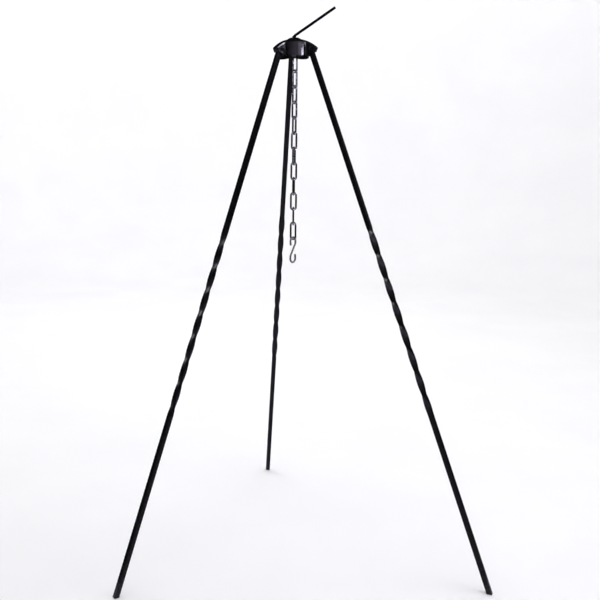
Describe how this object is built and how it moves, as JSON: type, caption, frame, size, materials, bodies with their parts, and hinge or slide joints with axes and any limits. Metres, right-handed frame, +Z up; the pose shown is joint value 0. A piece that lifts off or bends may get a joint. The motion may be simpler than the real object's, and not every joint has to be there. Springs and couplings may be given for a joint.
{
  "type": "campfire cooking tripod",
  "caption": "Folding campfire tripod with twisted square legs hinged under a pressed cap, and a chain with an S-hook that hangs from a bent swivel rod.",
  "frame": {"origin": "middle of the box around the feet, on the ground", "axes": "+Z up, -Y towards the viewer between the two front legs, +X to the viewer's right"},
  "size_m": [0.6966, 0.6032, 1.0712],
  "materials": {
    "cap_paint": "gloss black stove paint on pressed sheet steel",
    "leg_paint": "semi-gloss black stove paint on a twisted square bar",
    "rod_paint": "semi-gloss black stove paint on round rod",
    "rivet_paint": "semi-gloss black paint on steel rivets",
    "chain_zinc": "bright zinc plate on welded steel links",
    "hook_zinc": "dull zinc plate on steel wire"
  },
  "bodies": {
    "head": {"head_cap": "cap_paint", "top_washer": "cap_paint", "pivot_rivet_left": "rivet_paint", "pivot_rivet_right": "rivet_paint", "pivot_rivet_back": "rivet_paint"},
    "leg_left": {"leg_left": "leg_paint"},
    "leg_right": {"leg_right": "leg_paint"},
    "leg_back": {"leg_back": "leg_paint"},
    "hanger": {"hanger_rod": "rod_paint"},
    "link_01": {"link_01": "chain_zinc"},
    "link_02": {"link_02": "chain_zinc"},
    "link_03": {"link_03": "chain_zinc"},
    "link_04": {"link_04": "chain_zinc"},
    "link_05": {"link_05": "chain_zinc"},
    "link_06": {"link_06": "chain_zinc"},
    "link_07": {"link_07": "chain_zinc"},
    "link_08": {"link_08": "chain_zinc"},
    "link_09": {"link_09": "chain_zinc"},
    "link_10": {"link_10": "chain_zinc"},
    "link_11": {"link_11": "chain_zinc"},
    "link_12": {"link_12": "chain_zinc"},
    "s_hook": {"s_hook": "hook_zinc"}
  },
  "joints": [
    {"name": "leg_left_hinge", "type": "hinge", "parent": "head", "child": "leg_left", "pos_m": [-0.02821, -0.11424, 0.9952], "axis": [0.5, -0.866, 0], "range_deg": [0, 20]},
    {"name": "leg_right_hinge", "type": "hinge", "parent": "head", "child": "leg_right", "pos_m": [0.02821, -0.11424, 0.9952], "axis": [0.5, 0.866, 0], "range_deg": [0, 20]},
    {"name": "leg_back_hinge", "type": "hinge", "parent": "head", "child": "leg_back", "pos_m": [0, -0.06537, 0.9952], "axis": [-1, 0, 0], "range_deg": [0, 20]},
    {"name": "hanger_swivel", "type": "hinge", "parent": "head", "child": "hanger", "pos_m": [0, -0.09795, 1.0135], "axis": [0, 0, 1], "continuous": true},
    {"name": "link_01_hinge", "type": "hinge", "parent": "hanger", "child": "link_01", "pos_m": [0.00239, -0.09613, 0.98], "axis": [0.7965, 0.6046, 0], "range_deg": [-15, 15]},
    {"name": "link_02_hinge", "type": "hinge", "parent": "link_01", "child": "link_02", "pos_m": [0.00239, -0.09613, 0.95175], "axis": [-0.6046, 0.7965, 0], "range_deg": [-15, 15]},
    {"name": "link_03_hinge", "type": "hinge", "parent": "link_02", "child": "link_03", "pos_m": [0.00239, -0.09613, 0.9227], "axis": [-0.7965, -0.6046, 0], "range_deg": [-15, 15]},
    {"name": "link_04_hinge", "type": "hinge", "parent": "link_03", "child": "link_04", "pos_m": [0.00239, -0.09613, 0.89365], "axis": [0.6046, -0.7965, 0], "range_deg": [-15, 15]},
    {"name": "link_05_hinge", "type": "hinge", "parent": "link_04", "child": "link_05", "pos_m": [0.00239, -0.09613, 0.8646], "axis": [-0.852, -0.5236, 0], "range_deg": [-15, 15]},
    {"name": "link_06_hinge", "type": "hinge", "parent": "link_05", "child": "link_06", "pos_m": [0.00239, -0.09613, 0.83555], "axis": [0.4376, -0.8992, 0], "range_deg": [-15, 15]},
    {"name": "link_07_hinge", "type": "hinge", "parent": "link_06", "child": "link_07", "pos_m": [0.00239, -0.09613, 0.8065], "axis": [0.9377, 0.3473, 0], "range_deg": [-15, 15]},
    {"name": "link_08_hinge", "type": "hinge", "parent": "link_07", "child": "link_08", "pos_m": [0.00239, -0.09613, 0.77745], "axis": [-0.2538, 0.9673, 0], "range_deg": [-15, 15]},
    {"name": "link_09_hinge", "type": "hinge", "parent": "link_08", "child": "link_09", "pos_m": [0.00239, -0.09613, 0.7484], "axis": [0.9875, 0.1577, 0], "range_deg": [-15, 15]},
    {"name": "link_10_hinge", "type": "hinge", "parent": "link_09", "child": "link_10", "pos_m": [0.00239, -0.09613, 0.71935], "axis": [-0.0602, 0.9982, 0], "range_deg": [-15, 15]},
    {"name": "link_11_hinge", "type": "hinge", "parent": "link_10", "child": "link_11", "pos_m": [0.00239, -0.09613, 0.6903], "axis": [-0.9993, 0.038, 0], "range_deg": [-15, 15]},
    {"name": "link_12_hinge", "type": "hinge", "parent": "link_11", "child": "link_12", "pos_m": [0.00239, -0.09613, 0.66125], "axis": [-0.1357, -0.9907, 0], "range_deg": [-15, 15]},
    {"name": "s_hook_hinge", "type": "hinge", "parent": "link_12", "child": "s_hook", "pos_m": [0.00239, -0.09613, 0.6322], "axis": [0.8926, -0.4509, 0], "range_deg": [-20, 20]}
  ]
}
